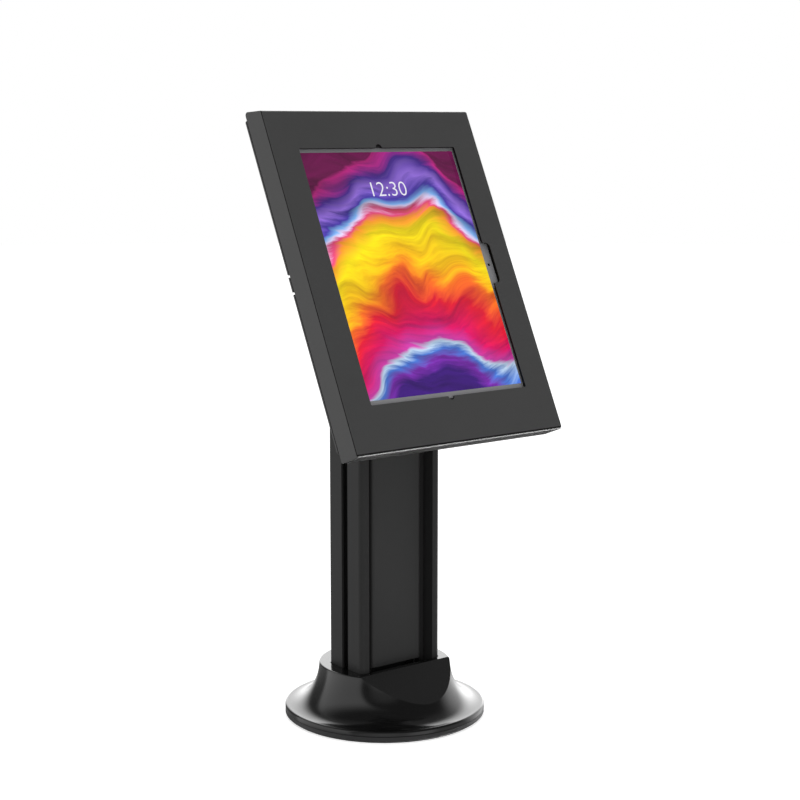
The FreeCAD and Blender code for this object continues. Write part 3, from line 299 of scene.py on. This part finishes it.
# One for each material slot: name, colour, roughness, the bump's strength and its
# depth in metres, settings of the grain, and Principled inputs by name
FINISHES = {
    "coated_sheet": powder_coat("powder_coat"),
    "gloss_cover": finish("satin_black_plastic", colour(12, 12, 12), 0.18, 0.03, 0.0001,
                          {"Grain Scale": 2600.0, "Cloud Amount": 0.2, "Roughness Spread": 0.06}),
    "anodised": finish("black_anodising", colour(38, 38, 38), 0.42, 0.06, 0.0001,
                       {"Stretch": (1, 1, 0.004), "Grain Scale": 2600.0, "Grain Amount": 0.22},
                       Specular_IOR_Level=0.18),
    "panel": finish("channel_panel", colour(41, 41, 41), 0.45, 0.06, 0.0001,
                    {"Stretch": (1, 1, 0.01), "Grain Scale": 1700.0, "Grain Amount": 0.12},
                    Specular_IOR_Level=0.3),
    "steel": finish("satin_black_steel", colour(25, 25, 26), 0.45, 0.1, 0.0002),
    "moulded": finish("black_moulding", colour(28, 28, 29), 0.55, 0.15, 0.0002,
                      {"Grain Scale": 3000.0}),
    "rubber": finish("rubber", colour(20, 20, 20), 0.75, 0.25, 0.0002, {"Grain Scale": 2200.0}),
    "foam": finish("foam", colour(20, 20, 20), 0.95, 0.8, 0.0005,
                   {"Grain Scale": 1600.0, "Grain Amount": 0.5}),
    "screws": finish("zinc_plate", colour(176, 178, 182), 0.3, 0.05, 0.0001,
                     {"Grain Scale": 900.0}, Metallic=1.0),
    "black_screws": finish("black_oxide", colour(34, 34, 35), 0.4, 0.05, 0.0001,
                           {"Grain Scale": 2600.0}, Metallic=0.6),
    "tablet_metal": finish("blasted_metal", colour(150, 152, 156), 0.4, 0.1, 0.0001,
                           {"Grain Scale": 4000.0}, Metallic=1.0),
    "tablet_glass": finish("tablet_front", colour(128, 128, 130), 0.12, 0.0, 0.0001,
                           {"Cloud Amount": 0.04}),
    "lens": finish("lens", colour(8, 8, 12), 0.08),
    "lock": finish("polished_zinc", colour(190, 190, 192), 0.16, 0.02, 0.0001,
                   {"Grain Scale": 900.0}, Metallic=1.0),
}

SLOTS = {row["node"]: row["material_slot"] for row in frame["record"]["subparts"]}
for node_name, node in frame["nodes"].items():
    node.data.materials.clear()
    node.data.materials.append(FINISHES[SLOTS[node_name]])
# The front cover's coat, with near-black painted shade in its hollow, on its cut edges, in its
# seams and along the foot of its face.
SHADED_COAT = powder_coat("powder_coat_painted_shade", colour(6, 6, 6))
frame["nodes"]["front_cover"].data.materials[0] = SHADED_COAT


# Screen picture: soft layered waves, a design of its own. They climb in the
# colours' order. Noise bends them twice, a sine lifts them into crests, and a
# silky noise along them frays their edges and shades them.

BROAD_BEND = (1.6, 2.0)     # a noise's scale and detail
FINE_BEND = (3.4, 3.0)
CREST_TURN = 4.6            # radians over the picture's width
CREST_START = 2.4
CREST_HEIGHT = 0.13
SILK_TURN = math.radians(24)
SILK_STRETCH = (1.6, 13.0, 1.0)
SILK = (1.0, 8.0, 0.62)     # a noise's scale, detail and roughness
SILK_FRAY = 0.16
SHEEN_GAIN = 2.4
SHEEN_START = -0.25
WAVE_COLOURS = [
    (0.04, (60, 20, 120)), (0.10, (120, 40, 170)), (0.15, (70, 120, 215)),
    (0.185, (196, 222, 246)), (0.21, (206, 60, 170)), (0.30, (214, 0, 96)),
    (0.39, (226, 20, 50)), (0.45, (246, 110, 30)), (0.51, (250, 190, 12)),
    (0.60, (250, 226, 10)), (0.665, (244, 150, 40)), (0.69, (226, 60, 120)),
    (0.72, (222, 208, 244)), (0.745, (120, 170, 228)), (0.78, (66, 50, 160)),
    (0.84, (140, 104, 208)), (0.90, (62, 34, 130)), (0.98, (176, 30, 120)),
    (1.00, (100, 10, 70)),
]
DIGITS_WHITE = colour(236, 236, 244)
GLASS_BLACK = (0.01, 0.01, 0.01, 1)
GLASS_ROUGHNESS = 0.08


def wave_picture():
    """A shader group that paints layered silky waves over a UV map."""
    tree, given, result = new_group(
        "layered_waves", [("Warp", "Float", 0.5), ("Swell", "Float", 0.1)], [("Color", "Color")])
    place = add_node(tree, "ShaderNodeUVMap").outputs[0]

    def bent(source, bend, amount):
        push = noise(tree, source, *bend).outputs["Color"]
        shift = calc_vector(tree, "SUBTRACT", push, (0.5, 0.5, 0.5))
        return calc_vector(tree, "ADD", source, calc_vector(tree, "SCALE", shift, amount))

    twice = bent(bent(place, BROAD_BEND, given["Warp"]), FINE_BEND, given["Swell"])
    split = add_node(tree, "ShaderNodeSeparateXYZ")
    feed(tree, twice, split.inputs[0])
    turn = calc(tree, "MULTIPLY_ADD", split.outputs["X"], CREST_TURN, CREST_START)
    crest = calc(tree, "SINE", turn)
    level = calc(tree, "MULTIPLY_ADD", crest, CREST_HEIGHT, split.outputs["Y"])
    along = add_node(tree, "ShaderNodeMapping", Rotation=(0, 0, SILK_TURN), Scale=SILK_STRETCH)
    feed(tree, twice, along.inputs["Vector"])
    silk = noise(tree, along.outputs[0], *SILK).outputs["Fac"]
    ramp = add_node(tree, "ShaderNodeValToRGB")
    elements = ramp.color_ramp.elements
    for position, shade in WAVE_COLOURS[1:-1]:
        elements.new(position).color = colour(*shade)
    for end in (0, -1):
        position, shade = WAVE_COLOURS[end]
        elements[end].position = position
        elements[end].color = colour(*shade)
    feed(tree, calc(tree, "MULTIPLY_ADD", silk, SILK_FRAY, level), ramp.inputs["Fac"])
    sheen = calc(tree, "MULTIPLY_ADD", silk, SHEEN_GAIN, SHEEN_START)
    feed(tree, calc_vector(tree, "SCALE", ramp.outputs["Color"], sheen), result["Color"])
    return tree


def lit_glass(name):
    """A material that glows under smooth black glass, its glow still without a colour."""
    material, tree, surface = new_material(name)
    surface.inputs["Base Color"].default_value = GLASS_BLACK
    surface.inputs["Roughness"].default_value = GLASS_ROUGHNESS
    surface.inputs["Emission Strength"].default_value = 1.0
    return material, tree, surface


def screen_material():
    """A lit display under smooth glass."""
    material, tree, surface = lit_glass("lit_screen")
    picture = add_node(tree, "ShaderNodeGroup", node_tree=wave_picture())
    feed(tree, picture.outputs["Color"], surface.inputs["Emission Color"])
    return material


def digit_material():
    """Softly lit white for the digits, with faint clouds in it."""
    material, tree, surface = lit_glass("lit_digits")
    for target, looks in (("Emission Color", {"Color": DIGITS_WHITE, "Cloud Amount": 0.1}),
                          ("Base Color", {"Color": GLASS_BLACK})):
        group = add_node(tree, "ShaderNodeGroup", node_tree=GRAIN, **looks)
        feed(tree, group.outputs["Color"], surface.inputs[target])
    return material


# Pieces

def placed(name, data):
    """A new object in the scene."""
    item = bpy.data.objects.new(name, data)
    bpy.context.scene.collection.objects.link(item)
    return item


def mesh_object(name, maker, material=None):
    """A new object from a bmesh, which is used up."""
    mesh = bpy.data.meshes.new(name)
    maker.to_mesh(mesh)
    maker.free()
    if material:
        mesh.materials.append(material)
    return placed(name, mesh)


def new_piece(name, maker, material, body):
    """A finished piece from a bmesh that is already in place."""
    piece = mesh_object(name, maker, material)
    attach(piece, body)
    return piece


def on_face(maker, depth, rise):
    """Moves a bmesh from the XY plane onto the enclosure's leaning face."""
    stand_up = Matrix.Rotation(math.radians(90), 4, "X")
    place = LEANING @ Matrix.Translation((0, depth, rise)) @ stand_up
    bmesh.ops.transform(maker, matrix=place, verts=maker.verts)


def screen_picture():
    """The lit area of the tablet's display, a hair in front of its glass."""
    maker = bmesh.new()
    maker.loops.layers.uv.new("picture")
    bmesh.ops.create_grid(maker, x_segments=1, y_segments=1, size=0.5, calc_uvs=True)
    bmesh.ops.scale(maker, vec=(SCREEN_WIDTH, SCREEN_TOP - SCREEN_LOW, 1), verts=maker.verts)
    on_face(maker, GLASS_DEPTH - PICTURE_LIFT, (SCREEN_TOP + SCREEN_LOW) / 2)
    new_piece("screen_picture", maker, screen_material(), "stand")


def clock_digits():
    """Plain thin digits, a hair in front of the picture."""
    text = bpy.data.curves.new("clock_text", "FONT")
    text.body = DIGITS
    text.align_x = "CENTER"
    text.offset = DIGITS_OFFSET
    text.size = DIGITS_HEIGHT / TYPE_SHARE
    sample = bpy.data.objects.new("clock_text", text)
    maker = bmesh.new()
    maker.from_mesh(sample.to_mesh())
    sample.to_mesh_clear()
    bpy.data.objects.remove(sample)
    bmesh.ops.translate(maker, vec=(0, DIGITS_RISE, 0), verts=maker.verts)
    bmesh.ops.dissolve_limit(maker, angle_limit=FLAT_TURN, verts=maker.verts, edges=maker.edges)
    bmesh.ops.triangulate(maker, faces=maker.faces)
    on_face(maker, GLASS_DEPTH - DIGITS_LIFT, 0)
    new_piece("clock_digits", maker, digit_material(), "stand")


# Bell cover, with finer curves than its solid

def rounding(centre, height, radius):
    """Points of a quarter turn from level to upright."""
    turns = [math.radians(turn) for turn in range(0, 90 + ROUND_STEP, ROUND_STEP)]
    return [(centre + radius * math.cos(a), height + radius * math.sin(a)) for a in turns]


def bell_outline(inset, rounded):
    """Half of the bell's section, from its axis at the foot to its axis at the top."""
    rim, neck = BELL_RADIUS - inset, NECK_RADIUS - inset
    rim_top, top = RIM_TOP - inset, BELL_TOP - inset
    flare = rim - RIM_ROUND - RIM_SHELF
    foot = BELL_FOOT - (0 if rounded else RIM_SHELF)
    sweep = [math.radians(turn) for turn in range(90, 0, -SWEEP_STEP)]
    edge, collar = [(rim, rim_top)], []
    if rounded:
        edge = rounding(rim - RIM_ROUND, rim_top - RIM_ROUND, RIM_ROUND)
        collar = rounding(neck - NECK_ROUND, top - NECK_ROUND, NECK_ROUND)
    else:
        sweep.append(0.0)
    curve = [(flare - (flare - neck) * math.cos(a), top - (top - rim_top) * math.sin(a))
             for a in sweep]
    return [(0, foot), (rim, foot)] + edge + curve + collar + [(0, top)]


def scratch_form(name, maker):
    """A scratch object for a boolean, from a bmesh, which is used up."""
    bmesh.ops.recalc_face_normals(maker, faces=maker.faces)
    return mesh_object(name, maker)


def bell_form(inset, rounded):
    """The bell as a closed turned form, without its facet."""
    maker = bmesh.new()
    points = [maker.verts.new((r, 0, z)) for r, z in bell_outline(inset, rounded)]
    lines = [maker.edges.new(pair) for pair in zip(points, points[1:])]
    bmesh.ops.spin(maker, geom=points + lines, cent=(0, 0, 0), axis=(0, 0, 1), angle=math.tau,
                   steps=BELL_TURNS, use_merge=True)
    bmesh.ops.remove_doubles(maker, verts=maker.verts, dist=WELD)
    return scratch_form("bell", maker)


def keep_above(maker, place, slope):
    """Cuts a closed form along a plane, drops what lies below it and closes the rest."""
    parts = maker.verts[:] + maker.edges[:] + maker.faces[:]
    cut = bmesh.ops.bisect_plane(maker, geom=parts, plane_co=place, plane_no=slope,
                                 clear_inner=True)
    rim = [item for item in cut["geom_cut"] if isinstance(item, bmesh.types.BMEdge)]
    bmesh.ops.holes_fill(maker, edges=rim)


def facet_wedge(inset):
    """What the slanted front facet takes off, down to the rim's flat top."""
    maker = bmesh.new()
    bmesh.ops.create_cube(maker, size=4 * BELL_RADIUS)
    keep_above(maker, Vector((0, SHELF_EDGE, BELL_TOP)) - inset * FACET_OUT, FACET_OUT)
    keep_above(maker, Vector((0, 0, RIM_TOP + SKIM - inset)), Vector((0, 0, 1)))
    return scratch_form("wedge", maker)


def upright_block(half_x, half_y, low, top, radius):
    """A block, with rounded upright edges if a radius is given."""
    maker = bmesh.new()
    bmesh.ops.create_cube(maker, size=1.0)
    bmesh.ops.scale(maker, vec=(2 * half_x, 2 * half_y, top - low), verts=maker.verts)
    bmesh.ops.translate(maker, vec=(0, 0, (low + top) / 2), verts=maker.verts)
    if radius:
        upright = [edge for edge in maker.edges
                   if abs(edge.verts[0].co.z - edge.verts[1].co.z) > (top - low) / 2]
        bmesh.ops.bevel(maker, geom=upright, offset=radius, segments=CORNER_STEPS, profile=0.5,
                        affect="EDGES", material=-1)
    return maker


def carved(piece, steps):
    """A scratch object after booleans with others, which are used up."""
    for operation, tool in steps:
        change = piece.modifiers.new("carve", "BOOLEAN")
        change.operation = operation
        change.solver = "EXACT"
        change.object = tool
    graph = bpy.context.evaluated_depsgraph_get()
    piece.data = bpy.data.meshes.new_from_object(piece.evaluated_get(graph))
    piece.modifiers.clear()
    for _, tool in steps:
        bpy.data.objects.remove(tool)
    return piece


def bell_steps():
    """What is cut from the bell's outer form and added to it, in order."""
    hollow = carved(bell_form(BELL_WALL, False), [("DIFFERENCE", facet_wedge(BELL_WALL))])
    sleeve = upright_block(OPENING[0] + GUIDE_WALL, OPENING[1] + GUIDE_WALL, GUIDE_LOW, GUIDE_TOP,
                           OPENING_ROUND + GUIDE_WALL)
    steps = [("DIFFERENCE", hollow), ("UNION", scratch_form("sleeve", sleeve))]
    for turn in RIB_TURNS:
        rib = upright_block(NECK_RADIUS - BELL_WALL / 2, GUIDE_WALL / 2, GUIDE_LOW, GUIDE_TOP, 0)
        spin = Matrix.Rotation(math.radians(turn), 4, "Z")
        bmesh.ops.transform(rib, matrix=spin, verts=rib.verts)
        steps.append(("UNION", scratch_form("rib", rib)))
    steps.append(("DIFFERENCE", facet_wedge(0)))
    hole = upright_block(*OPENING, 0, BELL_TOP + BELL_WALL, OPENING_ROUND)
    steps.append(("DIFFERENCE", scratch_form("hole", hole)))
    return steps


def is_smooth(edge):
    """Whether an edge is shaded smooth: no crease, and not where a flat begins."""
    flats = {max(face.normal.dot(FACET_OUT), face.normal.z) > SAME_PLANE
             for face in edge.link_faces}
    return len(flats) == 1 and len(edge.link_faces) == 2 and edge.calc_face_angle(0) < CREASE


def bell_cover():
    """The moulded bell: shell, guide sleeve, ribs and the column's opening."""
    shell = carved(bell_form(0, True), bell_steps())
    maker = bmesh.new()
    maker.from_mesh(shell.data)
    bpy.data.objects.remove(shell)
    bmesh.ops.remove_doubles(maker, verts=maker.verts, dist=WELD)
    for face in maker.faces:
        face.smooth = True
    for edge in maker.edges:
        edge.smooth = is_smooth(edge)
    cover = new_piece("bell_cover", maker, FINISHES["gloss_cover"], "base_cover")
    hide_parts("base_cover")


bell_cover()
screen_picture()
clock_digits()


# Stage

WHITE = (1, 1, 1, 1)
FLOOR_RADIUS = 6.0
FLOOR_SIDES = 96
FLOOR_PAPER = (0.8, 0.8, 0.8, 1)
FLOOR_GLOW = 0.6            # added where the camera sees the floor
AROUND = 0.75               # the world as a light
BACKDROP = 1.0              # the world as the camera sees it
ROOM = 0.11                 # what glossy rays see outside the glows and the soft box

# Round glows for glossy rays: direction, outer and inner half angle, strength.
# A strength below zero makes a dark card.
GLOWS = [
    ((0.0, 0.0, -1.0), 95.0, 60.0, 0.2),
    ((0.6, -0.75, -0.3), 45.0, 20.0, 0.3),
    ((-0.55, 0.8, -0.1), 45.0, 12.0, 0.1),
    ((0.62, 0.78, 0.3), 38.0, 15.0, 2.8),
    ((0.95, 0.15, 0.12), 42.0, 10.0, 1.8),
    ((-0.56, -0.7, -0.42), 40.0, 22.0, 0.4),
    ((-0.6, -0.77, 0.15), 32.0, 12.0, 0.3),
    ((0.09, -0.98, -0.15), 22.0, 8.0, 0.8),
    ((0.45, 0.38, 0.81), 40.0, 15.0, 0.15),
    ((0.61, -0.1, -0.75), 16.0, 6.0, 20.0),
    ((0.61, 0.61, -0.49), 34.0, 16.0, -0.2),
]

# A tall soft box on the left for glossy rays: its direction, its edges as sines
# from dark to full, and its strength. BOX_BACK cuts off the opposite half.
BOX_TURN = math.radians(153)
BOX_AIM = (math.cos(BOX_TURN), math.sin(BOX_TURN), 0.0)
BOX_BACK = (0.0, 0.05)
BOX_SIDE = (0.66, 0.588)
BOX_LOW = (-0.38, -0.24)
BOX_HIGH = (0.86, 0.5)
BOX_STRENGTH = 1.12

# Lamps: name, place, aim, width, height, watts
LAMPS = [
    ("left", (-1.9, -0.5, 0.9), (0, 0, 0.25), 1.0, 1.4, 2.0),
    ("front", (-0.6, -1.8, 0.35), (0, 0, 0.15), 0.6, 0.6, 6.5),
    ("right", (1.7, -0.4, 0.4), (0, 0, 0.2), 0.5, 1.0, 5.0),
    ("top", (-0.2, -0.2, 2.2), (0, 0, 0.25), 1.0, 1.0, 8.0),
]


def white_floor():
    """A level floor that the camera sees as white, and reflections don't see."""
    material, tree, _ = new_material("floor_white")
    tree.nodes.clear()
    out = add_node(tree, "ShaderNodeOutputMaterial")
    paper = add_node(tree, "ShaderNodeBsdfDiffuse", Color=FLOOR_PAPER).outputs[0]
    glow = add_node(tree, "ShaderNodeEmission", Color=WHITE, Strength=FLOOR_GLOW).outputs[0]
    both = add_node(tree, "ShaderNodeAddShader")
    feed(tree, paper, both.inputs[0])
    feed(tree, glow, both.inputs[1])
    seen = add_node(tree, "ShaderNodeLightPath").outputs["Is Camera Ray"]
    feed(tree, mix_shaders(tree, seen, paper, both.outputs[0]), out.inputs["Surface"])
    maker = bmesh.new()
    bmesh.ops.create_circle(maker, cap_ends=True, segments=FLOOR_SIDES, radius=FLOOR_RADIUS)
    floor = mesh_object("floor", maker, material)
    floor.visible_glossy = False


def mirrored_strength(tree):
    """How bright each direction is to a glossy ray."""
    place = add_node(tree, "ShaderNodeTexCoord").outputs["Generated"]

    def along(aim):
        return calc_vector(tree, "DOT_PRODUCT", place, Vector(aim).normalized())

    def ramp(source, dark, full, strength=1.0):
        glow = add_node(tree, "ShaderNodeMapRange", interpolation_type="SMOOTHSTEP")
        feed(tree, source, glow.inputs["Value"])
        for label, value in (("From Min", dark), ("From Max", full), ("To Max", strength)):
            glow.inputs[label].default_value = value
        return glow.outputs[0]

    side = calc(tree, "ABSOLUTE", along((BOX_AIM[1], -BOX_AIM[0], 0)))
    rise = along((0, 0, 1))
    total = ramp(along(BOX_AIM), *BOX_BACK, BOX_STRENGTH)
    for edge in (ramp(side, *BOX_SIDE), ramp(rise, *BOX_LOW), ramp(rise, *BOX_HIGH)):
        total = calc(tree, "MULTIPLY", total, edge)
    for aim, outer, inner, strength in GLOWS:
        dark, full = math.cos(math.radians(outer)), math.cos(math.radians(inner))
        total = calc(tree, "ADD", total, ramp(along(aim), dark, full, strength))
    return calc(tree, "ADD", total, ROOM)


def studio_world():
    """Even, soft light from all round; reflections see soft glows in a dim room."""
    world = bpy.data.worlds.new("studio")
    bpy.context.scene.world = world
    world.use_nodes = True
    tree = world.node_tree
    tree.nodes.clear()
    out = add_node(tree, "ShaderNodeOutputWorld")

    def light(strength):
        node = add_node(tree, "ShaderNodeBackground", Color=WHITE)
        feed(tree, strength, node.inputs["Strength"])
        return node.outputs[0]

    seen = add_node(tree, "ShaderNodeLightPath").outputs
    mirrored = light(mirrored_strength(tree))
    unseen = mix_shaders(tree, seen["Is Glossy Ray"], light(AROUND), mirrored)
    shown = mix_shaders(tree, seen["Is Camera Ray"], unseen, light(BACKDROP))
    feed(tree, shown, out.inputs["Surface"])


def softbox(name, place, aim, width, height, power):
    """An area lamp that faces a point. Neither the camera nor reflections see it."""
    lamp = bpy.data.lights.new(name, "AREA")
    lamp.shape = "RECTANGLE"
    lamp.size = width
    lamp.size_y = height
    lamp.energy = power
    box = placed(name, lamp)
    box.location = place
    box.rotation_euler = (Vector(aim) - Vector(place)).to_track_quat("-Z", "Y").to_euler()
    box.visible_camera = False
    box.visible_glossy = False


def camera():
    """The photograph's camera."""
    data = bpy.data.cameras.new("camera")
    data.lens = CAMERA_LENS
    data.sensor_width = CAMERA_SENSOR
    data.sensor_fit = "HORIZONTAL"
    turn, drop = CAMERA_TURN, CAMERA_DROP
    back = Vector((math.sin(turn) * math.cos(drop), -math.cos(turn) * math.cos(drop),
                   math.sin(drop)))
    eye = placed("camera", data)
    eye.location = CAMERA_PLACE
    eye.rotation_euler = (-back).to_track_quat("-Z", "Y").to_euler()
    bpy.context.scene.camera = eye


white_floor()
studio_world()
for lamp in LAMPS:
    softbox(*lamp)
camera()
bpy.context.scene.view_settings.view_transform = "Standard"
